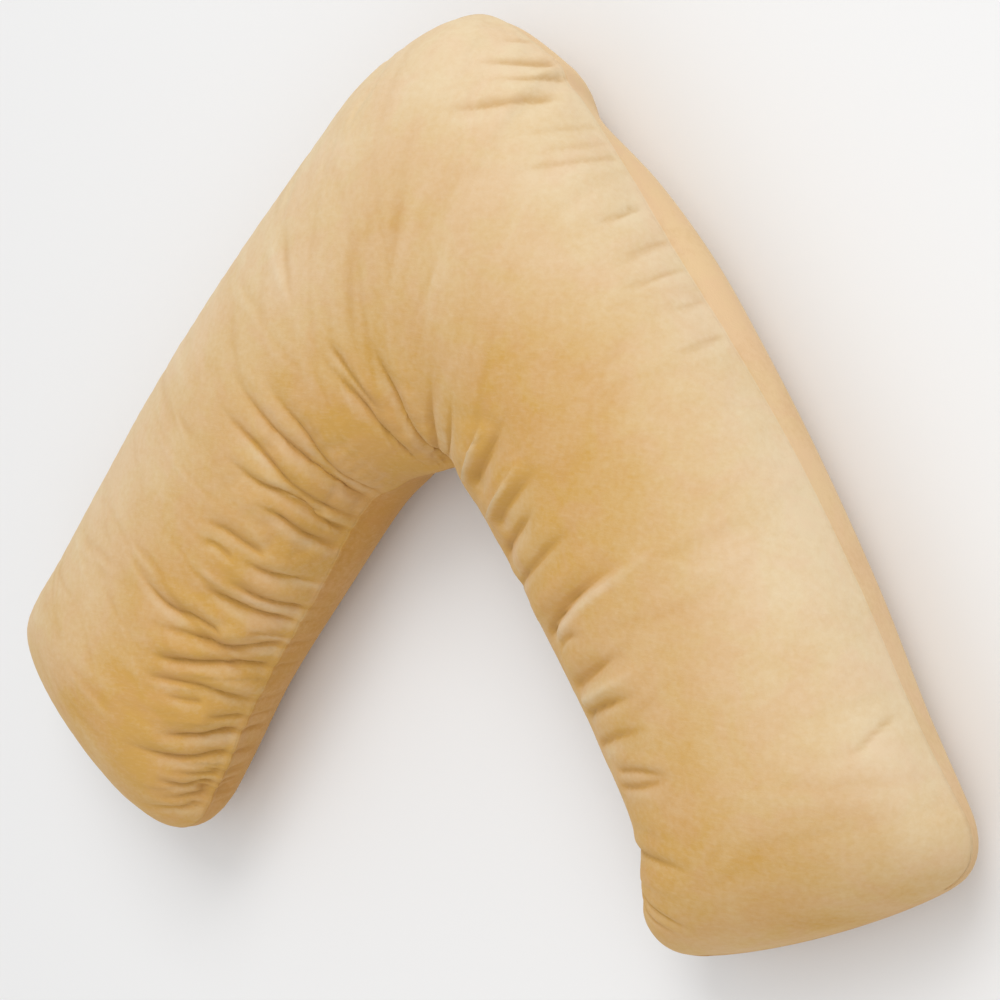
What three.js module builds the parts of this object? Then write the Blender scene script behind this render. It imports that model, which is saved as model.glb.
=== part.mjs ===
// A V shaped support pillow in brushed velour, filled, lying on its back.
//
// The cover is cut as two panels of one V outline, a front and a back, which are sewn to each
// other by a plain seam all round, turned out and filled. The front panel crowns up from the
// seam, the back panel swells out below it and is flat where it lies on the surface.
//
// Millimetres. The point of the V is towards +Y, the arms run down to -X and to +X, the front
// panel faces +Z and the surface is z = 0.
import * as THREE from 'three';
import { ParametricGeometry } from 'three/addons/geometries/ParametricGeometry.js';
import { mergeGeometries, mergeVertices } from 'three/addons/utils/BufferGeometryUtils.js';

const SEAM_HEIGHT = 85; // of the seam above the surface
const END_DROP = 14; // how much lower the seam is at each end of the pillow
const BACK_DEPTH = 93; // of the filled back panel below its seam, if nothing held it up
const END_TAPER = 115; // length of each arm's end over which the fill thins to the end seam
const END_BOW = 8; // how far the end seam bows out in its middle
const END_SWELL = 10; // how far the back panel swells past the end seam

// The powers that shape the filled sections: 2 is an ellipse, and more is fuller at the sides.
const FULLNESS = { front: 2.2, frontEnd: 2.2, back: 3.4, backEnd: 3.0 };

// Radii of the four corners of the cut.
const CORNER = { left: { inner: 55, outer: 35 }, right: { inner: 60, outer: 50 } };

// Sections across the pillow, from the end of the left arm round the point to the end of the
// right arm. inner and outer are where the seam runs on the crotch's side and on the long side,
// measured from the crotch. rise is the height of the front over the seam. innerSwell and
// outerSwell are how far the back panel stands out past the seam.
const SECTIONS = [
  { innerX: -275, innerY: -380, outerX: -490, outerY: -205, rise: 76, innerSwell: 11, outerSwell: 10 },
  { innerX: -220, innerY: -300, outerX: -430, outerY: -140, rise: 76, innerSwell: 0, outerSwell: 10 },
  { innerX: -180, innerY: -215, outerX: -370, outerY: -50, rise: 74, innerSwell: 4, outerSwell: 10 },
  { innerX: -125, innerY: -125, outerX: -310, outerY: 40, rise: 78, innerSwell: 8, outerSwell: 10 },
  { innerX: -75, innerY: -40, outerX: -235, outerY: 135, rise: 83, innerSwell: 16, outerSwell: 9 },
  { innerX: -35, innerY: -8, outerX: -135, outerY: 260, rise: 86, innerSwell: 10, outerSwell: 5 },
  { innerX: -15, innerY: 2, outerX: 12, outerY: 365, rise: 88, innerSwell: 7, outerSwell: 4 },
  { innerX: 8, innerY: 5, outerX: 160, outerY: 248, rise: 86, innerSwell: 7, outerSwell: 7 },
  { innerX: 55, innerY: -13, outerX: 265, outerY: 127, rise: 83, innerSwell: 10, outerSwell: 13 },
  { innerX: 125, innerY: -100, outerX: 325, outerY: 48, rise: 82, innerSwell: 10, outerSwell: 7 },
  { innerX: 195, innerY: -190, outerX: 385, outerY: -40, rise: 80, innerSwell: 10, outerSwell: 3 },
  { innerX: 235, innerY: -265, outerX: 440, outerY: -130, rise: 76, innerSwell: 10, outerSwell: 0 },
  { innerX: 235, innerY: -365, outerX: 505, outerY: -225, rise: 76, innerSwell: 10, outerSwell: 4 },
];

// The main folds that the seam draws into the front panel: each is a soft trough that starts at
// the seam and runs out on the panel. width is from its bottom to its lip.
const FOLDS = [
  // fanning out of the crotch
  { fromX: 30, fromY: 10, toX: 0, toY: 70, width: 13, depth: 9 },
  { fromX: -10, fromY: 5, toX: -45, toY: 65, width: 14, depth: 5 },
  { fromX: 90, fromY: 10, toX: 120, toY: 50, width: 14, depth: 5 },
  { fromX: 110, fromY: -45, toX: 150, toY: 5, width: 14, depth: 5 },
  { fromX: 160, fromY: -100, toX: 225, toY: -55, width: 15, depth: 7 },
  { fromX: 210, fromY: -155, toX: 260, toY: -135, width: 14, depth: 4 },
  { fromX: 235, fromY: -250, toX: 295, toY: -255, width: 16, depth: 4 },
  // along the inner seam of the left arm
  { fromX: -70, fromY: -5, toX: -115, toY: 50, width: 14, depth: 4 },
  { fromX: -85, fromY: -65, toX: -130, toY: -35, width: 13, depth: 7 },
  { fromX: -115, fromY: -105, toX: -165, toY: -90, width: 14, depth: 4 },
  { fromX: -135, fromY: -145, toX: -225, toY: -135, width: 14, depth: 7 },
  { fromX: -160, fromY: -185, toX: -260, toY: -175, width: 14, depth: 6 },
  { fromX: -185, fromY: -215, toX: -255, toY: -205, width: 13, depth: 4 },
  { fromX: -200, fromY: -255, toX: -275, toY: -255, width: 13, depth: 7 },
  { fromX: -215, fromY: -290, toX: -275, toY: -280, width: 13, depth: 5 },
  { fromX: -230, fromY: -320, toX: -275, toY: -325, width: 13, depth: 4 },
  // at the long seam beside the point
  { fromX: 110, fromY: 315, toX: 60, toY: 300, width: 14, depth: 6 },
  { fromX: 205, fromY: 200, toX: 170, toY: 165, width: 15, depth: 4 },
];
const FOLD_LIP = 1.2; // how much the cloth beside a trough stands up: 0 is not at all
const FOLD_RUN_OUT = 0.45; // the share of a trough's length over which it fades into the panel
const FOLD_PAST_SEAM = 0.15; // the share of its length that it has already at its start

const STATIONS = 120; // steps along the pillow
const STRIPS = 20; // steps across each panel
const END_DENSITY = 0.25; // how much closer the stations are at the ends
const NORMAL_STEP = 0.004; // step in along and across for working out which way the panel faces

// A column of the sections as a smooth function of the place along the pillow, 0 to 1.
function smoothColumn(name) {
  const points = SECTIONS.map((row) => new THREE.Vector3(row[name], 0, 0));
  const curve = new THREE.CatmullRomCurve3(points, false, 'catmullrom', 0.5);
  return (place) => curve.getPoint(place).x;
}
const column = Object.fromEntries(Object.keys(SECTIONS[0]).map((name) => [name, smoothColumn(name)]));

// The middle line of the pillow, which measures out the stations.
const midLine = new THREE.CatmullRomCurve3(
  SECTIONS.map((row) => new THREE.Vector3((row.innerX + row.outerX) / 2, (row.innerY + row.outerY) / 2, 0)),
  false,
  'catmullrom',
  0.5,
);
const midLength = midLine.getLength();

// How full a section is at x, which is 0 in its middle and 1 at its rim.
const fullness = (x, power) => Math.sqrt(1 - Math.min(1, Math.abs(x)) ** power);

// The facts of the station at along, which is -1 at the left end and 1 at the right end.
function station(along) {
  const place = midLine.getUtoTmapping((along + 1) / 2);
  const fromEnd = ((1 - Math.abs(along)) / 2) * midLength;
  const inner = new THREE.Vector2(column.innerX(place), column.innerY(place));
  const outer = new THREE.Vector2(column.outerX(place), column.outerY(place));
  const acrossWay = outer.clone().sub(inner).normalize();
  // the corners of the cut are quarter circles
  const corner = along < 0 ? CORNER.left : CORNER.right;
  const rounding = (radius) => {
    const x = Math.max(0, 1 - fromEnd / radius);
    return radius * (1 - Math.sqrt(1 - x * x));
  };
  inner.addScaledVector(acrossWay, rounding(corner.inner));
  outer.addScaledVector(acrossWay, -rounding(corner.outer));
  const tangent = midLine.getTangent(place);
  const endWay = new THREE.Vector2(tangent.x, tangent.y).multiplyScalar(Math.sign(along));
  const taper = Math.max(0, 1 - fromEnd / END_TAPER);
  return { place, inner, outer, acrossWay, endWay, taper };
}

// A point of the front panel, before its folds. across is -1 at the inner seam, 1 at the outer.
function plainFront(along, across) {
  const { place, inner, outer, endWay, taper } = station(along);
  const plan = inner.clone().lerp(outer, (across + 1) / 2);
  plan.addScaledVector(endWay, END_BOW * taper ** 2 * (1 - across ** 2));
  const seam = SEAM_HEIGHT - END_DROP * taper ** 2;
  const crown = fullness(taper, FULLNESS.frontEnd) * fullness(across, FULLNESS.front);
  return new THREE.Vector3(plan.x, plan.y, seam + crown * column.rise(place));
}

// A point of the back panel: it swells past the seam, then flattens on the surface.
function back(along, across) {
  const { place, inner, outer, acrossWay, endWay, taper } = station(along);
  const depth = fullness(taper, FULLNESS.backEnd) * fullness(across, FULLNESS.back);
  const swell = 4 * depth * (1 - depth);
  const sideSwell = across < 0 ? -column.innerSwell(place) : column.outerSwell(place);
  const plan = inner.clone().lerp(outer, (across + 1) / 2);
  plan.addScaledVector(endWay, END_BOW * taper ** 2 * (1 - across ** 2) + END_SWELL * swell * taper ** 2);
  plan.addScaledVector(acrossWay, swell * sideSwell * across ** 2 * (1 - taper ** 2 / 2));
  const seam = SEAM_HEIGHT - END_DROP * taper ** 2;
  return new THREE.Vector3(plan.x, plan.y, Math.max(0, seam - depth * BACK_DEPTH));
}

// How deep the folds lie at a point of the front panel.
function foldDepth(point) {
  let depth = 0;
  for (const fold of FOLDS) {
    const run = new THREE.Vector2(fold.toX - fold.fromX, fold.toY - fold.fromY);
    const offset = new THREE.Vector2(point.x - fold.fromX, point.y - fold.fromY);
    const share = offset.dot(run) / run.lengthSq();
    const beside = offset.cross(run) / run.length() / fold.width;
    const start = THREE.MathUtils.smoothstep(share, -2 * FOLD_PAST_SEAM, FOLD_PAST_SEAM);
    const end = 1 - THREE.MathUtils.smoothstep(share, 1 - FOLD_RUN_OUT, 1 + FOLD_PAST_SEAM);
    depth += fold.depth * start * end * (1 - FOLD_LIP * beside ** 2) * Math.exp(-(beside ** 2));
  }
  return depth;
}

// A point of the front panel with its folds, which are pressed in square to the panel and die out
// in the last part before the seam, so that both panels keep one rim.
function front(along, across) {
  const point = plainFront(along, across);
  const before = plainFront(Math.max(-1, along - NORMAL_STEP), across);
  const after = plainFront(Math.min(1, along + NORMAL_STEP), across);
  const inside = plainFront(along, Math.max(-1, across - NORMAL_STEP));
  const outside = plainFront(along, Math.min(1, across + NORMAL_STEP));
  const facing = after.sub(before).cross(outside.sub(inside)).normalize();
  const free = Math.sqrt(1 - across ** 2) * Math.sqrt(1 - station(along).taper ** 2);
  return point.addScaledVector(facing, -foldDepth(point) * free);
}

// One panel as a grid of stations and strips, closer together at the seams.
function panelGeometry(surface, turn) {
  const alongAt = (v) => {
    const even = 2 * v - 1;
    return (1 - END_DENSITY) * even + END_DENSITY * Math.sin((even * Math.PI) / 2);
  };
  const acrossAt = (u) => Math.sin((turn * (2 * u - 1) * Math.PI) / 2);
  const place = (u, v, target) => target.copy(surface(alongAt(v), acrossAt(u)));
  return new ParametricGeometry(place, STRIPS, STATIONS);
}

// The filled pillow: both panels joined at their common seam into one closed body, with the
// middle of its box over the origin.
function pillowGeometry() {
  const panels = mergeGeometries([panelGeometry(front, -1), panelGeometry(back, 1)]);
  panels.deleteAttribute('normal');
  panels.deleteAttribute('uv');
  const closed = mergeVertices(panels, 0.001);
  closed.computeBoundingBox();
  const middle = closed.boundingBox.getCenter(new THREE.Vector3());
  closed.translate(-middle.x, -middle.y, 0);
  closed.computeVertexNormals();
  return closed;
}

const velour = new THREE.MeshStandardMaterial({ color: 0xdcba86, roughness: 0.95, metalness: 0 });
const pillow = new THREE.Mesh(pillowGeometry(), velour);
pillow.name = 'v_pillow';

const vShapedPillow = new THREE.Group();
vShapedPillow.add(pillow);

export default vShapedPillow;
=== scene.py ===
import math

import bpy
import numpy as np
from mathutils import Matrix, Vector


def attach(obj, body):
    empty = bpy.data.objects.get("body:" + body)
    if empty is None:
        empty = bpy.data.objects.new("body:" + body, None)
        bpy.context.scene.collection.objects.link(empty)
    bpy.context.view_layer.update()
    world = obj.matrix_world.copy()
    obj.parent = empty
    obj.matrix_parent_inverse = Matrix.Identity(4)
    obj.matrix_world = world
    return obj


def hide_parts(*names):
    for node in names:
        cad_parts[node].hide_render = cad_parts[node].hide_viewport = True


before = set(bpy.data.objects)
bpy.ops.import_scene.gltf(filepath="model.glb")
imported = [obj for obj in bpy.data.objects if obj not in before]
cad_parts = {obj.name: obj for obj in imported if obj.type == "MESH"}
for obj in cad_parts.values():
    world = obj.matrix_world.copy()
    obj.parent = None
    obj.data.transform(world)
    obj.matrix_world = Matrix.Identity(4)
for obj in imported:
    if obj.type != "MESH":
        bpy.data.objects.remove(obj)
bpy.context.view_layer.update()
scene = bpy.context.scene

# Camera
# It stands as the photograph has it to the pillow's face: over the right arm, 37 degrees off
# square, with the point of the V up in the picture and a small roll. A 76 mm lens, 1.7 m away.
camera_place = Vector((1.052, 0.152, 1.425))
camera_target = Vector((0.064, -0.018, 0.085))
camera_roll = math.radians(4.1)
lens_mm = 75.8

backwards = (camera_place - camera_target).normalized()
level = Vector((0, 1, 0)).cross(backwards).normalized()
upright = backwards.cross(level)
camera_right = math.cos(camera_roll) * level + math.sin(camera_roll) * upright
camera_up = math.cos(camera_roll) * upright - math.sin(camera_roll) * level
camera_data = bpy.data.cameras.new("camera")
camera_data.lens = lens_mm
camera_data.sensor_width = 36.0
camera = bpy.data.objects.new("camera", camera_data)
camera.matrix_world = Matrix.Translation(camera_place) @ Matrix(
    (camera_right, camera_up, backwards)
).transposed().to_4x4()
scene.collection.objects.link(camera)
scene.camera = camera


# Studio
# A plain pale floor and plain soft light: a large soft box past the point of the V, two weak ones
# over the camera and past the open side, and an even white surround.
def linear(hex_colour):
    """An sRGB hex colour as linear red, green, blue and alpha."""
    parts = [int(hex_colour[i : i + 2], 16) / 255 for i in (1, 3, 5)]
    return [*(c / 12.92 if c <= 0.04045 else ((c + 0.055) / 1.055) ** 2.4 for c in parts), 1.0]


def node(tree, kind, inputs=None, **settings):
    """Adds a node, sets its own settings and its inputs, and links an input that is a socket."""
    made = tree.nodes.new(kind)
    for name, value in settings.items():
        setattr(made, name, value)
    for name, value in (inputs or {}).items():
        socket = made.inputs[name]
        if isinstance(value, bpy.types.NodeSocket):
            tree.links.new(value, socket)
        else:
            socket.default_value = value
    return made


scene.view_settings.view_transform = "Standard"

floor_half = 6.0
floor_mesh = bpy.data.meshes.new("studio_floor")
floor_corners = [(x * floor_half, y * floor_half, 0.0) for x, y in ((-1, -1), (1, -1), (1, 1), (-1, 1))]
floor_mesh.from_pydata(floor_corners, [], [(0, 1, 2, 3)])
floor = bpy.data.objects.new("studio_floor", floor_mesh)
scene.collection.objects.link(floor)
# Matt white studio paper: it gives the eye nothing but the soft shadow.
paper = bpy.data.materials.new("white_studio_paper")
paper.use_nodes = True
paper_shader = paper.node_tree.nodes["Principled BSDF"]
paper_shader.inputs["Base Color"].default_value = linear("#e8e8e8")
paper_shader.inputs["Roughness"].default_value = 0.9
paper_shader.inputs["Specular IOR Level"].default_value = 0.2
floor_mesh.materials.append(paper)

surround = bpy.data.worlds.new("surround")
surround.use_nodes = True
surround.node_tree.nodes["Background"].inputs["Color"].default_value = (1.0, 1.0, 1.0, 1.0)
surround.node_tree.nodes["Background"].inputs["Strength"].default_value = 0.69
scene.world = surround

soft_boxes = {  # name: (place, width, watts)
    "point_side_box": ((0.9, 5.0, 5.1), 3.6, 200.0),
    "over_camera_box": ((1.0, 0.6, 2.4), 1.5, 9.5),
    "open_side_box": ((0.2, -1.9, 2.0), 1.5, 6.0),
}
for name, (place, width, watts) in soft_boxes.items():
    light = bpy.data.lights.new(name, "AREA")
    light.shape = "SQUARE"
    light.size = width
    light.energy = watts
    box = bpy.data.objects.new(name, light)
    box.location = place
    box.rotation_euler = (camera_target - Vector(place)).to_track_quat("-Z", "Y").to_euler()
    scene.collection.objects.link(box)


# The cover's cut and its filled form
# Two velour panels of one V outline, cut the same and joined by a plain seam at mid thickness. The
# filling crowns the front, and the back swells past the seam and lies flat. A row is a section
# across the pillow, from the end of the left arm round the point to the end of the right arm.
sections = np.array([
    # inner seam x, y and outer seam x, y, from the crotch; the front's rise over the seam; how far
    # the back swells past the inner and the outer seam
    (-0.273, -0.383, -0.494, -0.205, 0.076, 0.011, 0.010),
    (-0.220, -0.300, -0.432, -0.139, 0.076, 0.000, 0.010),
    (-0.180, -0.215, -0.372, -0.049, 0.074, 0.004, 0.010),
    (-0.125, -0.125, -0.311, 0.041, 0.078, 0.008, 0.010),
    (-0.075, -0.040, -0.237, 0.137, 0.083, 0.016, 0.009),
    (-0.036, -0.012, -0.135, 0.260, 0.086, 0.007, 0.006),
    (-0.021, -0.004, -0.067, 0.331, 0.087, 0.004, 0.005),
    (-0.004, 0.001, 0.012, 0.364, 0.088, 0.003, 0.004),
    (0.013, 0.005, 0.085, 0.331, 0.087, 0.003, 0.003),
    (0.020, 0.006, 0.104, 0.310, 0.087, 0.004, -0.003),
    (0.026, 0.006, 0.123, 0.291, 0.087, 0.004, -0.004),
    (0.038, 0.001, 0.165, 0.243, 0.086, 0.006, 0.010),
    (0.056, -0.016, 0.215, 0.182, 0.085, 0.008, 0.018),
    (0.086, -0.053, 0.264, 0.125, 0.083, 0.010, 0.014),
    (0.124, -0.101, 0.325, 0.048, 0.082, 0.010, 0.008),
    (0.192, -0.191, 0.385, -0.040, 0.080, 0.010, 0.004),
    (0.233, -0.266, 0.440, -0.130, 0.076, 0.010, 0.000),
    (0.228, -0.363, 0.501, -0.222, 0.076, 0.010, 0.002),
])
seam_height = 0.085
end_drop = 0.014
back_depth = 0.093
end_taper = 0.115
end_bow = 0.008
end_swell = 0.010
corner_radius = {
    "left inner": 0.064, "left outer": 0.008, "right inner": 0.068, "right outer": 0.042,
}
front_power, front_end_power, back_power, back_end_power = 2.2, 2.2, 3.4, 3.0

rows = 325
back_strips = 18
front_strips = 3 * back_strips


def smooth_rows(table, place):
    """Catmull-Rom values of a table's columns at places counted in rows."""
    padded = np.vstack([2 * table[0] - table[1], table, 2 * table[-1] - table[-2]])
    i = np.minimum(place.astype(int), len(table) - 2)
    f = (place - i)[:, None]
    a, b, c, d = padded[i], padded[i + 1], padded[i + 2], padded[i + 3]
    square = (2 * a - 5 * b + 4 * c - d) * f**2
    cube = (3 * b - a - 3 * c + d) * f**3
    return 0.5 * (2 * b + (c - a) * f + square + cube)


def smooth_step(x):
    """0 below 0 and 1 past 1, with a soft start and end between."""
    x = np.clip(x, 0, 1)
    return x * x * (3 - 2 * x)


def across_places(columns):
    """Where a panel's columns lie across it, -1 at the inner seam and 1 at the outer."""
    return np.sin(np.linspace(-1, 1, columns) * math.pi / 2)


def fullness(x, power):
    """How full a section is at x, 0 in its middle and 1 at its rim."""
    return np.sqrt(1 - np.clip(np.abs(x), 0, 1) ** power)


# the rows, by length along the middle line, closer together where the cover puckers and at the ends
fine_place = np.linspace(0, len(sections) - 1, 2400)
fine_mid = smooth_rows((sections[:, 0:2] + sections[:, 2:4]) / 2, fine_place)
fine_length = np.concatenate([[0], np.cumsum(np.linalg.norm(np.diff(fine_mid, axis=0), axis=1))])
mid_length = fine_length[-1]
fine_end = np.minimum(fine_length, mid_length - fine_length)
end_steepness = 0.028  # squared slope of the end's quarter-round, times the distance from the end
closeness = 0.6 + 0.4 * smooth_step((0.66 - fine_length / mid_length) / 0.08)
closeness *= np.sqrt(1 + end_steepness / (fine_end + 1e-5))
fine_count = np.concatenate([[0], np.cumsum((closeness[1:] + closeness[:-1]) / 2 * np.diff(fine_length))])
row_length = np.interp(np.linspace(0, fine_count[-1], rows), fine_count, fine_length)
station_place = np.interp(row_length, fine_length, fine_place)
along = row_length / mid_length * 2 - 1
from_end = np.minimum(row_length, mid_length - row_length)
is_left = along < 0
taper = np.clip(1 - from_end / end_taper, 0, 1)

section = smooth_rows(sections, station_place)
inner, outer = section[:, 0:2], section[:, 2:4]
rise, inner_swell, outer_swell = section[:, 4], section[:, 5], section[:, 6]
across_way = (outer - inner) / np.linalg.norm(outer - inner, axis=1, keepdims=True)


def corner_cut(left, right):
    """How far a quarter-circle corner draws the seam in at each row."""
    radius = np.where(is_left, corner_radius[left], corner_radius[right])
    x = np.clip(1 - from_end / radius, 0, 1)
    return radius * (1 - np.sqrt(1 - x**2))


middle = (inner + outer) / 2
end_way = np.gradient(middle, row_length, axis=0) * np.where(is_left, -1, 1)[:, None]
end_way /= np.linalg.norm(end_way, axis=1, keepdims=True)
inner = inner + across_way * corner_cut("left inner", "right inner")[:, None]
outer = outer - across_way * corner_cut("left outer", "right outer")[:, None]
seam_z = seam_height - end_drop * taper**2


def panel_form(strips, is_front):
    """One panel's filled form as a grid of points, rows by strips."""
    across = across_places(strips + 1)
    share = (across[None, :, None] + 1) / 2
    plan = inner[:, None, :] * (1 - share) + outer[:, None, :] * share
    bow = end_bow * (taper**2)[:, None] * (1 - across**2)[None, :]
    if is_front:
        crown = fullness(taper, front_end_power)[:, None] * fullness(across, front_power)[None, :]
        height = seam_z[:, None] + crown * rise[:, None]
    else:
        depth = fullness(taper, back_end_power)[:, None] * fullness(across, back_power)[None, :]
        swell = 4 * depth * (1 - depth)
        side = np.where(across[None, :] < 0, -inner_swell[:, None], outer_swell[:, None]) * across**2
        plan = plan + across_way[:, None, :] * (swell * side * (1 - (taper**2)[:, None] / 2))[..., None]
        bow = bow + end_swell * swell * (taper**2)[:, None]
        height = np.maximum(0, seam_z[:, None] - depth * back_depth)
    plan = plan + end_way[:, None, :] * bow[..., None]
    return np.concatenate([plan, height[..., None]], axis=2)


front = panel_form(front_strips, True)
back = panel_form(back_strips, False)
# the frame's origin is under the middle of the pillow's box, which puts the crotch here
crotch = np.array([-0.0027, -0.0032, 0.0])
front = front + crotch
back = back + crotch


# Folds
# Where the seam is shorter than the cloth that is eased on to it, the velour gathers in soft rolls
# that start at the seam and run out over the filling, with a narrow crease under each. A row is one
# crease: width, depth and path from the seam outwards. A ridge has a negative depth.
folds = [
    # the fan out of the crotch
    (0.0060, 0.0085, (-0.007, 0.011), (-0.020, 0.033), (-0.033, 0.053), (-0.057, 0.079)),
    (0.0040, 0.0038, (-0.019, 0.051), (-0.043, 0.082), (-0.054, 0.095)),
    (0.0060, 0.0104, (0.016, 0.006), (0.010, 0.029), (0.001, 0.062), (-0.011, 0.094)),
    (0.0080, 0.0063, (0.015, 0.005), (0.030, 0.024), (0.035, 0.043), (0.047, 0.079)),
    (0.0050, 0.0044, (0.024, 0.007), (0.040, 0.017), (0.055, 0.035), (0.066, 0.062)),
    (0.0032, -0.0074, (0.072, 0.003), (0.088, 0.022), (0.102, 0.048)),
    (0.0075, 0.0065, (0.081, 0.000), (0.100, 0.019), (0.125, 0.055)),
    (0.0030, -0.0074, (0.099, -0.024), (0.117, -0.006), (0.140, 0.022)),
    (0.0070, 0.0065, (0.108, -0.028), (0.126, -0.010), (0.154, 0.018)),
    (0.0080, 0.0074, (0.106, -0.052), (0.127, -0.034), (0.150, -0.015)),
    # down the inner side of the right arm
    (0.0055, 0.0055, (0.119, -0.074), (0.146, -0.057), (0.164, -0.042), (0.190, -0.022)),
    (0.0065, 0.0089, (0.155, -0.107), (0.173, -0.090), (0.195, -0.070), (0.232, -0.042)),
    (0.0060, -0.0049, (0.171, -0.103), (0.206, -0.071), (0.262, -0.030)),
    (0.0040, 0.0034, (0.171, -0.112), (0.183, -0.104), (0.200, -0.098)),
    (0.0070, 0.0049, (0.186, -0.142), (0.208, -0.127), (0.240, -0.105)),
    (0.0060, -0.0049, (0.195, -0.151), (0.216, -0.139), (0.258, -0.113)),
    (0.0050, 0.0065, (0.194, -0.163), (0.217, -0.151), (0.252, -0.134)),
    (0.0070, 0.0044, (0.208, -0.183), (0.229, -0.172), (0.260, -0.158)),
    (0.0035, 0.0040, (0.232, -0.197), (0.254, -0.191), (0.284, -0.187)),
    (0.0050, 0.0044, (0.233, -0.210), (0.256, -0.203), (0.284, -0.190)),
    (0.0040, 0.0044, (0.236, -0.260), (0.261, -0.257), (0.300, -0.255)),
    (0.0025, 0.0040, (0.244, -0.293), (0.260, -0.300), (0.290, -0.307)),
    (0.0025, 0.0030, (0.240, -0.301), (0.254, -0.310), (0.278, -0.316)),
    # down the inner side of the left arm
    (0.0060, 0.0076, (-0.060, -0.024), (-0.072, -0.008), (-0.086, 0.022), (-0.111, 0.051)),
    (0.0060, 0.0085, (-0.070, -0.030), (-0.083, -0.010), (-0.113, 0.019), (-0.146, 0.055)),
    (0.0060, 0.0085, (-0.086, -0.044), (-0.106, -0.024), (-0.128, 0.003), (-0.160, 0.029)),
    (0.0040, 0.0076, (-0.095, -0.046), (-0.106, -0.035), (-0.130, -0.027), (-0.154, -0.010)),
    (0.0040, 0.0076, (-0.090, -0.061), (-0.100, -0.047), (-0.108, -0.040), (-0.123, -0.032)),
    (0.0060, 0.0095, (-0.101, -0.074), (-0.111, -0.062), (-0.121, -0.052), (-0.134, -0.044)),
    (0.0060, 0.0057, (-0.141, -0.084), (-0.153, -0.077), (-0.168, -0.068), (-0.185, -0.063)),
    (0.0050, 0.0038, (-0.166, -0.091), (-0.178, -0.082), (-0.191, -0.080)),
    (0.0050, 0.0066, (-0.120, -0.108), (-0.137, -0.104), (-0.156, -0.094)),
    (0.0055, 0.0095, (-0.132, -0.134), (-0.148, -0.127), (-0.169, -0.113)),
    (0.0055, 0.0104, (-0.141, -0.147), (-0.154, -0.142), (-0.178, -0.129), (-0.191, -0.122)),
    (0.0040, 0.0038, (-0.149, -0.161), (-0.157, -0.159), (-0.165, -0.157)),
    (0.0060, 0.0085, (-0.188, -0.158), (-0.202, -0.151), (-0.232, -0.141), (-0.257, -0.119)),
    (0.0055, 0.0095, (-0.154, -0.170), (-0.181, -0.175), (-0.204, -0.168), (-0.243, -0.160)),
    (0.0050, 0.0095, (-0.167, -0.191), (-0.187, -0.190), (-0.230, -0.190), (-0.246, -0.187)),
    (0.0050, 0.0076, (-0.188, -0.222), (-0.208, -0.212), (-0.240, -0.208), (-0.252, -0.207)),
    (0.0040, 0.0047, (-0.211, -0.226), (-0.224, -0.225), (-0.241, -0.222)),
    (0.0040, 0.0057, (-0.193, -0.239), (-0.201, -0.240), (-0.210, -0.239)),
    (0.0055, 0.0114, (-0.199, -0.254), (-0.216, -0.259), (-0.244, -0.259)),
    (0.0060, 0.0095, (-0.209, -0.276), (-0.225, -0.281), (-0.244, -0.280), (-0.275, -0.273)),
    (0.0040, 0.0057, (-0.217, -0.293), (-0.222, -0.297), (-0.247, -0.295)),
    (0.0045, 0.0095, (-0.224, -0.306), (-0.238, -0.309), (-0.255, -0.304)),
    (0.0045, 0.0076, (-0.228, -0.312), (-0.235, -0.320), (-0.261, -0.322)),
    (0.0040, 0.0057, (-0.239, -0.328), (-0.251, -0.333), (-0.281, -0.334)),
    # beside the point, and down the right arm's long side
    (0.0040, 0.0019, (0.077, 0.334), (0.065, 0.340), (0.046, 0.339)),
    (0.0060, 0.0034, (0.088, 0.322), (0.072, 0.322), (0.044, 0.320)),
    (0.0050, 0.0028, (0.108, 0.306), (0.101, 0.311), (0.086, 0.310), (0.058, 0.307)),
    (0.0090, 0.0026, (0.103, 0.294), (0.088, 0.290), (0.060, 0.284), (0.036, 0.280)),
    (0.0060, 0.0003, (0.131, 0.276), (0.126, 0.272), (0.086, 0.262)),
    (0.0060, 0.0003, (0.142, 0.262), (0.133, 0.258), (0.112, 0.253)),
    (0.0060, 0.0008, (0.152, 0.252), (0.128, 0.243), (0.108, 0.238)),
    (0.0040, 0.0019, (0.179, 0.216), (0.178, 0.210), (0.167, 0.201)),
    (0.0050, 0.0014, (0.203, 0.190), (0.200, 0.186), (0.191, 0.172)),
    (0.0040, 0.0011, (0.218, 0.170), (0.207, 0.160), (0.200, 0.154)),
    (0.0050, 0.0011, (0.236, 0.153), (0.237, 0.147), (0.230, 0.141)),
    (0.0060, 0.0010, (0.258, 0.124), (0.253, 0.117), (0.244, 0.110)),
    (0.0040, 0.0011, (0.427, -0.127), (0.421, -0.140), (0.413, -0.153)),
]
roll_side = 1.2  # widths that the cloth takes to rise to the roll above a crease
lee_side = 2.4  # and on the side below it
crease_share = 0.28  # how much of the depth is the narrow crease itself
crease_half = 0.0018  # and how far the crease reaches on either side
roll_highlight = 0.42  # painted highlight on the roll below a crease, beside the crease's painted shade
fold_lip = 0.25  # how far the cloth beside a crease stands up, as a share of its depth


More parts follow.
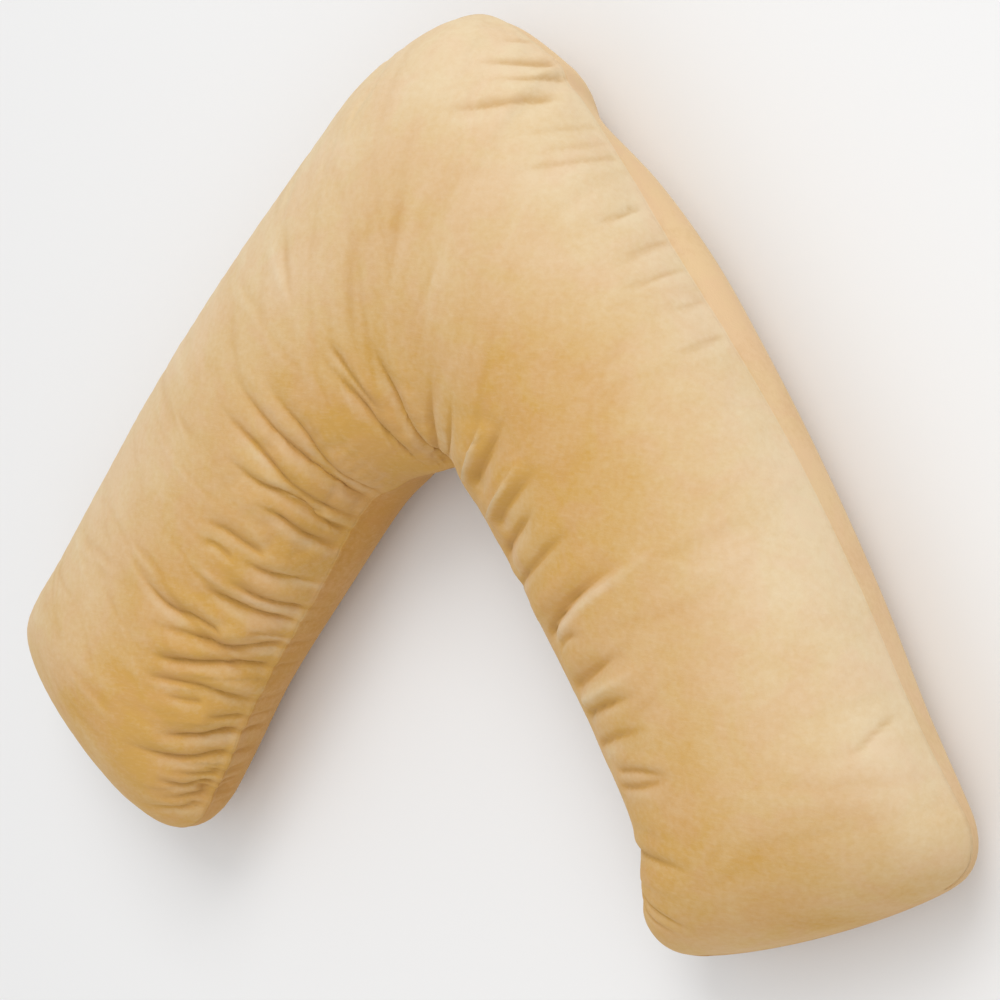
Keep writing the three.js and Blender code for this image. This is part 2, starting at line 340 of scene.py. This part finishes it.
def fold_depth(points):
    """How deep the folds lie at each point, in metres, and the painted shade there, up to 1 in a crease,
    with painted highlight down to -1 on a roll or ridge.
    """
    total = np.zeros(len(points))
    crease = np.zeros(len(points))
    for width, depth, *path in folds:
        path = np.array(path)
        path = smooth_rows(path, np.linspace(0, len(path) - 1, 6 * len(path) - 5))
        reach = 5 * width
        near = np.flatnonzero(((points > path.min(0) - reach) & (points < path.max(0) + reach)).all(1))
        q = points[near]
        best = np.full(len(near), 1e9)
        above = np.zeros(len(near))
        share = np.zeros(len(near))
        for k in range(len(path) - 1):
            run = path[k + 1] - path[k]
            length = np.linalg.norm(run)
            on = ((q - path[k]) @ run) / length**2
            on = np.clip(on, -9 if k == 0 else 0, 9 if k == len(path) - 2 else 1)
            distance = np.linalg.norm(q - path[k] - on[:, None] * run, axis=1)
            upper_way = np.array([-run[1], run[0]]) * (1 if run[0] > 0 else -1) / length
            closer = distance < best
            best = np.where(closer, distance, best)
            above = np.where(closer, (q - path[k]) @ upper_way, above)
            share = np.where(closer, (k + on) / (len(path) - 1), share)
        x = best / width / np.where(above > 0, roll_side, lee_side)
        strength = smooth_step((share + 0.18) / 0.25) * smooth_step((1.15 - share) / 0.6)
        soft = np.exp(-(x**1.3) * 1.2) - fold_lip * np.exp(-((x - 2.0) ** 2))
        narrow = np.exp(-best / crease_half)
        total[near] += depth * strength * ((1 - crease_share) * soft + crease_share * narrow)
        if depth > 0:
            fold_shade_and_highlight = np.exp(-((best / np.where(above > 0, 0.6 * width, crease_half)) ** 2))
            fold_shade_and_highlight -= roll_highlight * np.exp(-(((x - 0.45) / 0.3) ** 2)) * (above <= 0)
        else:
            fold_shade_and_highlight = -np.exp(-((best / (0.7 * width)) ** 2))
        crease[near] += math.sqrt(abs(depth) / 0.008) * strength**1.5 * fold_shade_and_highlight
    return total, np.clip(crease, -1, 1)


# Faint rolls
# Between the folds the cloth lies in faint rolls, 6 to 12 mm wide and 50 to 120 mm long, that run
# across the pillow as the folds do. Each has its own place, slant and height.
faint_rolls = 520
faint_height = 0.00046
faint_span = 0.30  # from seam to seam over the front
faint_roll_highlight = 0.22  # painted highlight on a faint roll


def slack_cloth(panel):
    """How high the faint rolls stand at each point of the panel, about -1 to 1."""
    draws = np.random.default_rng(5)
    place = np.interp(np.linspace(0, 1, panel.shape[0]), np.linspace(0, 1, rows), row_length)[:, None]
    share = (across_places(panel.shape[1])[None, :] + 1) / 2
    height = np.zeros(panel.shape[:2])
    for _ in range(faint_rolls):
        centre, middle_share = draws.uniform(0, mid_length), draws.uniform(0, 1) ** 1.3
        half_width, half_length = draws.uniform(0.003, 0.006), draws.uniform(0.025, 0.060)
        slant, stands = draws.normal(0, 0.25), draws.normal(0, 0.7)
        over = (share - middle_share) * faint_span
        away = place - centre - slant * over
        height += stands * np.exp(-((away / half_width) ** 2) - (over / half_length) ** 2)
    step = np.linalg.norm(np.gradient(panel, axis=0), axis=2)
    gathered = np.minimum(1, step / step[:, panel.shape[1] // 2][:, None]) ** 1.5
    less_on_right = 1 - 0.4 * smooth_step((place / mid_length - 0.45) / 0.2)
    less_outside = 1 - 0.5 * share
    return height * gathered * less_on_right * less_outside


# Filling
# Hollow fibre, pushed in until the cover is tight. Its pressure swells both panels between the
# seams, and the cloth to spare beside the inner seam and the crotch puckers under it.
spare_cloth = 0.06  # how much longer the cover is cut than it needs to be where it puckers
moments = 20  # frames of the simulation


def spare_share(plan):
    """How much of the spare cloth there is at each point, 0 to 1."""
    places = [
        # x, y, reach
        (-0.230, -0.270, 0.10), (-0.190, -0.200, 0.09), (-0.140, -0.130, 0.09), (-0.100, -0.050, 0.08),
        (-0.030, 0.040, 0.08), (0.060, 0.040, 0.07), (0.140, -0.040, 0.06), (0.210, -0.120, 0.06),
        (0.260, -0.220, 0.05), (0.160, 0.220, 0.05),
    ]
    share = np.zeros(len(plan))
    for x, y, reach in places:
        share = np.maximum(share, np.exp(-(np.linalg.norm(plan - (x, y), axis=1) / reach) ** 2))
    return share


def quads(index, flip):
    """The four-sided faces of a grid of point numbers, turned over if flip."""
    a, b, c, d = index[:-1, :-1], index[1:, :-1], index[1:, 1:], index[:-1, 1:]
    order = (a, d, c, b) if flip else (a, b, c, d)
    return np.stack(order, axis=-1).reshape(-1, 4)


def closed_cover(front, back, end_columns, name):
    """One closed mesh of both panels, which share the seam all the way round.

    At the ends the back panel has fewer columns, and end_columns are the front's that it meets.
    """
    front_index = np.arange(front[..., 0].size).reshape(front.shape[:2])
    inside = back[1:-1, 1:-1]
    back_index = np.zeros(back.shape[:2], int)
    back_index[1:-1, 1:-1] = front_index.size + np.arange(inside[..., 0].size).reshape(inside.shape[:2])
    back_index[:, 0], back_index[:, -1] = front_index[:, 0], front_index[:, -1]
    back_index[0], back_index[-1] = front_index[0, end_columns], front_index[-1, end_columns]
    faces = quads(front_index, False).tolist()
    faces += quads(back_index[1:-1], True).tolist()
    for column in range(back.shape[1] - 1):
        seam_run = slice(end_columns[column], end_columns[column + 1] + 1)
        first = front_index[0, seam_run].tolist()
        faces.append(first + back_index[1, column : column + 2].tolist()[::-1])
        last = front_index[-1, seam_run].tolist()
        faces.append(back_index[-2, column : column + 2].tolist() + last[::-1])
    mesh = bpy.data.meshes.new(name)
    mesh.from_pydata(np.concatenate([front.reshape(-1, 3), inside.reshape(-1, 3)]).tolist(), [], faces)
    mesh.update()
    return mesh, front_index


def filled(front, back):
    """The front panel's points once the filling has pressed both panels out."""
    end_columns = range(0, front_strips + 1, 3)
    mesh, front_index = closed_cover(front, back, end_columns, "cover_being_filled")
    cloth = bpy.data.objects.new("cover_being_filled", mesh)
    scene.collection.objects.link(cloth)
    sides_and_ends = (front_index[:, 0], front_index[:, -1], front_index[0], front_index[-1])
    seam_points = np.unique(np.concatenate(sides_and_ends))
    cloth.vertex_groups.new(name="seam").add(seam_points.tolist(), 1.0, "REPLACE")
    spare = cloth.vertex_groups.new(name="spare")
    plan = np.empty(len(mesh.vertices) * 3)
    mesh.vertices.foreach_get("co", plan)
    share = spare_share(plan.reshape(-1, 3)[:, 0:2])
    share[front_index.size :] *= 0.5  # the back panel is cut closer
    levels = 20
    for level in range(1, levels + 1):
        chosen = np.flatnonzero(np.round(share * levels) == level)
        spare.add(chosen.tolist(), level / levels, "REPLACE")
    pressed = cloth.modifiers.new("filling", "CLOTH")
    settings = pressed.settings
    settings.quality = 5
    settings.mass = 0.01
    settings.tension_stiffness = 20.0
    settings.compression_stiffness = 20.0
    settings.shear_stiffness = 10.0
    settings.bending_stiffness = 0.3
    settings.use_pressure = True
    settings.uniform_pressure_force = 4.0
    settings.vertex_group_mass = "seam"
    settings.vertex_group_shrink = "spare"
    settings.shrink_min = 0.0
    settings.shrink_max = -spare_cloth
    settings.effector_weights.gravity = 0.0
    pressed.collision_settings.use_collision = False
    pressed.point_cache.frame_start = 1
    pressed.point_cache.frame_end = moments
    for moment in range(1, moments + 1):
        scene.frame_set(moment)
    shaped = cloth.evaluated_get(bpy.context.evaluated_depsgraph_get()).to_mesh()
    points = np.empty(len(shaped.vertices) * 3)
    shaped.vertices.foreach_get("co", points)
    points = points.reshape(-1, 3)
    bpy.data.objects.remove(cloth)
    scene.frame_set(1)
    return points[front_index]


def spread(grid, times):
    """The grid's values evened out with their neighbours'."""
    for _ in range(times):
        for axis in (0, 1):
            g = np.swapaxes(grid, 0, axis).copy()
            g[1:-1] = g[1:-1] / 2 + (g[2:] + g[:-2]) / 4
            grid = np.swapaxes(g, 0, axis)
    return grid


def facing(grid):
    """Unit normals of a grid of points."""
    n = np.cross(np.gradient(grid, axis=0), np.gradient(grid, axis=1))
    return n / np.maximum(np.linalg.norm(n, axis=2, keepdims=True), 1e-9)


def from_sides_and_ends(grid):
    """How far each grid point lies from the nearest side seam and from the nearest end, over the cloth."""
    over = np.cumsum(np.linalg.norm(np.diff(grid, axis=1), axis=2), axis=1)
    lengthwise = np.cumsum(np.linalg.norm(np.diff(grid, axis=0), axis=2), axis=0)
    side = np.concatenate([np.zeros((len(grid), 1)), over], axis=1)
    end = np.concatenate([np.zeros((1, grid.shape[1])), lengthwise])
    return np.minimum(side, side[:, -1:] - side), np.minimum(end, end[-1:] - end)


def refine(grid):
    """Twice as many steps each way, on smooth curves through the grid's points."""
    for axis in (0, 1):
        g = np.swapaxes(grid, 0, axis)
        p = np.concatenate([2 * g[:1] - g[1:2], g, 2 * g[-1:] - g[-2:-1]])
        halves = (9 * (p[1:-2] + p[2:-1]) - p[:-3] - p[3:]) / 16
        made = np.empty((2 * len(g) - 1, *g.shape[1:]))
        made[0::2] = g
        made[1::2] = halves
        grid = np.swapaxes(made, 0, axis)
    return grid


held_share = 0.3  # how much of a fold's depth the seam lets through
held_reach = 0.008
pressed_flat = 0.035  # the height under which the pillow's weight has pressed the folds out


def with_folds(panel, share, inwards):
    """The panel with its folds, and the painted shade in its creases and highlight on its rolls at each
    point.
    """
    depth, crease = fold_depth(panel[..., 0:2].reshape(-1, 2))
    depth, crease = depth.reshape(panel.shape[:2]), crease.reshape(panel.shape[:2])
    from_seam = np.minimum(*from_sides_and_ends(panel))
    free = held_share + (1 - held_share) * smooth_step(from_seam / held_reach)
    free *= smooth_step((panel[..., 2] - pressed_flat) / pressed_flat)
    free[[0, -1], :] = 0
    return panel + inwards * facing(panel) * (share * depth * free)[..., None], crease * free * share


pucker_most = 0.004
folds_to_start = 0.35  # the share of the folds that the pressure starts from
form_spread = 80  # rounds of evening out that leave the swell alone, without its puckers
started, _ = with_folds(front, folds_to_start, -1)
wrinkle = filled(started, back) - started
wrinkle = wrinkle - spread(wrinkle, form_spread)
size = np.linalg.norm(wrinkle, axis=2, keepdims=True)
wrinkle *= pucker_most * np.tanh(size / pucker_most) / np.maximum(size, 1e-9)
front = front + wrinkle
front = refine(front)
faint = slack_cloth(front)
off_seam = np.minimum(*from_sides_and_ends(front)) > 0
front = front + facing(front) * (faint_height * faint * off_seam)[..., None]
front, front_crease = with_folds(front, 1.0, -1)
# painted highlight on the faint rolls
front_crease = np.clip(front_crease - faint_roll_highlight * faint, -1, 1)
back = refine(back)
# the back panel's folds are half as deep, and only beside the inner seam
inner_side = 0.5 * (1 - smooth_step(np.linspace(0, 2, back.shape[1])))
back, back_crease = with_folds(back, inner_side[None, :], 1)


# Seam
# A plain seam, sewn inside out and turned, so that no thread shows: only a turned edge that stands a
# little proud of both panels, with the stitched line sunk in it.
edge_stands = 0.0025
edge_reach = 0.007
stitch_sinks = 0.0009
stitch_half = 0.0012


def refined_rows(values):
    """Each row's values, for the refined rows."""
    return refine(np.repeat(values[:, None, :], 3, axis=1))[:, 0]


def with_seam(grid):
    """The grid with two more columns beside each seam, the turned edge raised and the stitches sunk."""
    thirds = (1 / 3, 2 / 3)
    first = [grid[:, :1] * (1 - f) + grid[:, 1:2] * f for f in thirds]
    last = [grid[:, -2:-1] * (1 - f) + grid[:, -1:] * f for f in thirds]
    grid = np.concatenate([grid[:, :1], *first, grid[:, 1:-1], *last, grid[:, -1:]], axis=1)
    side, end = from_sides_and_ends(grid)
    inner_half = np.arange(grid.shape[1])[None, :] < grid.shape[1] / 2
    side_way = np.where(inner_half[..., None], -1, 1) * refined_rows(across_way)[:, None, :]
    by_side, by_end = np.exp(-side / edge_reach), np.exp(-end / edge_reach)
    way = by_side[..., None] * side_way + by_end[..., None] * refined_rows(end_way)[:, None, :]
    size = np.linalg.norm(way, axis=2, keepdims=True)
    way *= np.minimum(size, 1) / np.maximum(size, 1e-9)
    rim = np.minimum(side, end)
    sink = stitch_sinks * np.exp(-((rim / stitch_half) ** 2))
    moved = grid - facing(grid) * (sink * (rim > 0))[..., None]
    moved[..., 0:2] += way * edge_stands
    moved[..., 2] = np.maximum(moved[..., 2], 0)
    return moved


front = with_seam(front)
back = with_seam(back)
last = front.shape[1] - 1
end_columns = [0, 3, 4, *range(5, last - 4, 3), last - 4, last - 3, last]
cover_mesh, _ = closed_cover(front, back, end_columns, "filled_cover")
cover_mesh.polygons.foreach_set("use_smooth", [True] * len(cover_mesh.polygons))
front_faces = (front.shape[0] - 1) * (front.shape[1] - 1)
is_back = np.arange(len(cover_mesh.polygons)) >= front_faces
cover_mesh.polygons.foreach_set("material_index", is_back.astype(np.int32))
cover = bpy.data.objects.new("filled_cover", cover_mesh)
scene.collection.objects.link(cover)


# Velour
# Knitted polyester velour with a short pile, brushed and left as it fell. Beside the inner seam the
# pile lies down and looks deep and golden. Along the outer side it stands and looks pale, and this
# pale colour is painted sheen too. Patches that were brushed back are a little pinker.
def store(name, front_values, back_values):
    """Keeps one value a point on the cover, for the velour to read."""
    values = np.concatenate([front_values.reshape(-1), back_values[1:-1, 1:-1].reshape(-1)])
    cover_mesh.attributes.new(name, "FLOAT", "POINT").data.foreach_set("value", values.astype(np.float32))


def seam_columns(values):
    """A refined grid's values, for the grid with the seam's two more columns on each side."""
    columns = np.arange(values.shape[1])
    return values[:, [0, 1, 1, *columns[1:-1], columns[-2], columns[-2], columns[-1]]]


def outward(grid):
    """How far across the pillow a grid's columns lie, without the seam's, 0 inside and 1 outside."""
    return (across_places(grid.shape[1] - 4)[None, :] + 1) / 2


def refined_values(values):
    """One value a row, for the refined rows."""
    return refined_rows(np.repeat(values[:, None], 3, axis=1))[:, :1]


# how the pile goes over from lying to standing across the pillow, with painted sheen where it stands:
# evenly at the point, later on the right arm, and less towards the ends, which paints them darker as shade
across_power = 1.5 - 0.3 * np.exp(-((along / 0.2) ** 2)) + 1.1 * smooth_step((along - 0.05) / 0.3)
across_power = refined_values(across_power)
ends_painted_darker = 1 - 0.5 * refined_values(taper)
least = refined_values(0.16 * smooth_step((along + 0.05) / 0.3))
fullest = refined_values(0.88 + 0.14 * smooth_step((0.1 - along) / 0.2) * smooth_step((along + 0.8) / 0.4))
light_and_shade_patches = [  # x, y, reach, how much paler (painted light) or darker (painted shade): soft patches of painted light and shade
    (0.145, 0.045, 0.06, -0.20), (0.200, 0.090, 0.06, -0.14), (0.250, 0.010, 0.05, -0.14),
    (0.400, -0.150, 0.06, 0.14), (0.360, -0.040, 0.05, 0.12), (-0.080, 0.130, 0.06, 0.10),
    (-0.280, -0.235, 0.06, -0.16), (-0.230, -0.220, 0.04, -0.08), (-0.030, 0.036, 0.04, -0.16),
    (0.308, -0.241, 0.05, -0.08), (0.360, -0.262, 0.05, -0.06), (0.420, -0.240, 0.04, -0.12),
]


def patched_light_and_shade(grid):
    """What the patches of painted light and shade add to the pale share, for a refined grid."""
    more = np.zeros(grid.shape[:2])
    for x, y, reach, amount in light_and_shade_patches:
        more += amount * np.exp(-((np.linalg.norm(grid[..., 0:2] - (x, y), axis=2) / reach) ** 2))
    return np.delete(more, [1, 2, -3, -2], axis=1)


# the pale share on the front: painted sheen towards the outer side, painted shade at the ends, and patches
# of painted light and shade
front_pile_and_sheen = least + (1 - least) * outward(front) ** across_power * ends_painted_darker * fullest
front_pile_and_sheen += patched_light_and_shade(front)
back_pile_and_sheen = least + (1 - least) * outward(back) ** across_power * ends_painted_darker
store("pile_and_painted_sheen", seam_columns(front_pile_and_sheen), seam_columns(back_pile_and_sheen))
store("crease", seam_columns(front_crease), seam_columns(back_crease))


def velour(name, lying, pale_with_sheen, lying_back, pale_with_sheen_back, crease_shade_colour):
    """The pile's colour where it lies, and its pale colour where it stands, which is painted sheen; the
    same two where it is brushed back; and the painted shade colour in a crease."""
    made = bpy.data.materials.new(name)
    made.use_nodes = True
    tree = made.node_tree
    shader = tree.nodes["Principled BSDF"]
    place = node(tree, "ShaderNodeTexCoord").outputs["Object"]

    # clouds 60 to 80 mm across, where the pile stands up more or less
    clouds = node(tree, "ShaderNodeTexNoise", {
        "Vector": place, "Scale": 14.0, "Detail": 3.0, "Distortion": 0.4,
    })
    uneven = node(tree, "ShaderNodeMapRange", {
        "Value": clouds.outputs["Fac"], "From Min": 0.3, "From Max": 0.7, "To Min": -0.13, "To Max": 0.13,
    })
    # the pale share kept on the mesh: where the pile stands, with painted sheen, and painted shade at the
    # ends
    stands = node(tree, "ShaderNodeAttribute", attribute_name="pile_and_painted_sheen")
    in_clouds = node(tree, "ShaderNodeMath", {
        0: stands.outputs["Fac"], 1: uneven.outputs["Result"],
    }, operation="ADD")
    # tufts 5 mm across and smaller, each lying its own way
    tufts = node(tree, "ShaderNodeTexNoise", {
        "Vector": place, "Scale": 200.0, "Detail": 5.0, "Roughness": 0.6,
    })
    own_way = node(tree, "ShaderNodeMapRange", {
        "Value": tufts.outputs["Fac"], "From Min": 0.25, "From Max": 0.75, "To Min": -0.12, "To Max": 0.12,
    })
    in_tufts = node(tree, "ShaderNodeMath", {
        0: in_clouds.outputs[0], 1: own_way.outputs["Result"],
    }, operation="ADD")
    # painted highlight on a roll and painted shade in a crease: the pale share rises on rolls and falls in
    # creases
    fold_shade_and_highlight = node(tree, "ShaderNodeAttribute", attribute_name="crease")
    fold_light_shift = node(tree, "ShaderNodeMapRange", {
        "Value": fold_shade_and_highlight.outputs["Fac"], "From Min": -1.0, "From Max": 1.0, "To Min": 0.6, "To Max": -0.6,
    })
    pale = node(tree, "ShaderNodeMath", {
        0: in_tufts.outputs[0], 1: fold_light_shift.outputs["Result"],
    }, operation="ADD", use_clamp=True)
    combed = node(tree, "ShaderNodeMix", {
        "Factor": pale.outputs[0], "A": linear(lying), "B": linear(pale_with_sheen),
    }, data_type="RGBA")
    ruffled = node(tree, "ShaderNodeMix", {
        "Factor": pale.outputs[0], "A": linear(lying_back), "B": linear(pale_with_sheen_back),
    }, data_type="RGBA")

    # patches 30 to 50 mm across that a hand has brushed back
    patches = node(tree, "ShaderNodeTexNoise", {
        "Vector": place, "Scale": 27.0, "Detail": 3.0, "Distortion": 0.8,
    })
    back_share = node(tree, "ShaderNodeMapRange", {
        "Value": patches.outputs["Fac"], "From Min": 0.40, "From Max": 0.62,
    })
    colour = node(tree, "ShaderNodeMix", {
        "Factor": back_share.outputs["Result"],
        "A": combed.outputs["Result"],
        "B": ruffled.outputs["Result"],
    }, data_type="RGBA")

    # brush marks: tufts of 5 by 1.2 mm that catch the light, along the pile
    along_pile = node(tree, "ShaderNodeMapping", {"Vector": place, "Scale": (0.24, 1.0, 0.6)})
    marks = node(tree, "ShaderNodeTexNoise", {
        "Vector": along_pile.outputs["Vector"], "Scale": 520.0, "Detail": 3.0,
    })
    lit = node(tree, "ShaderNodeMapRange", {
        "Value": marks.outputs["Fac"], "From Min": 0.50, "From Max": 0.78, "To Min": 0.0, "To Max": 0.12,
    })
    marked = node(tree, "ShaderNodeMix", {
        "Factor": lit.outputs["Result"], "A": colour.outputs["Result"], "B": linear(pale_with_sheen),
    }, data_type="RGBA")

    # painted shade: in a crease the colour also deepens towards the crease's shade colour
    crease_shade_share = node(tree, "ShaderNodeMath", {
        0: fold_shade_and_highlight.outputs["Fac"], 1: 0.38,
    }, operation="MULTIPLY", use_clamp=True)
    final = node(tree, "ShaderNodeMix", {
        "Factor": crease_shade_share.outputs[0], "A": marked.outputs["Result"], "B": linear(crease_shade_colour),
    }, data_type="RGBA")
    tree.links.new(final.outputs["Result"], shader.inputs["Base Color"])

    # the pile's own grain, 0.3 mm in the cloth, drawn 1.2 mm so that it shows
    grain = node(tree, "ShaderNodeTexNoise", {"Vector": place, "Scale": 850.0, "Detail": 2.0})
    relief = node(tree, "ShaderNodeMath", {
        0: marks.outputs["Fac"], 1: grain.outputs["Fac"],
    }, operation="ADD")
    bump = node(tree, "ShaderNodeBump", {"Height": relief.outputs[0], "Strength": 0.25, "Distance": 0.0006})
    tree.links.new(bump.outputs["Normal"], shader.inputs["Normal"])

    shader.inputs["Roughness"].default_value = 0.9
    shader.inputs["Specular IOR Level"].default_value = 0.2
    shader.inputs["Sheen Weight"].default_value = 0.2
    shader.inputs["Sheen Roughness"].default_value = 0.45
    shader.inputs["Sheen Tint"].default_value = linear("#ffecc8")
    return made


cover_mesh.materials.append(
    velour("brushed_velour_front", "#c69a51", "#dcc7a4", "#c79a5b", "#dcc3a1", "#996a26")
)
# The back panel's colours are deeper and more saturated than the front's, which paints shade on the band
# that shows beside the seam.
cover_mesh.materials.append(
    velour("brushed_velour_back", "#bb8a44", "#ddbe92", "#bd8b4a", "#ddbb92", "#8c5e2c")
)

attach(cover, "root")
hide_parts("v_pillow")
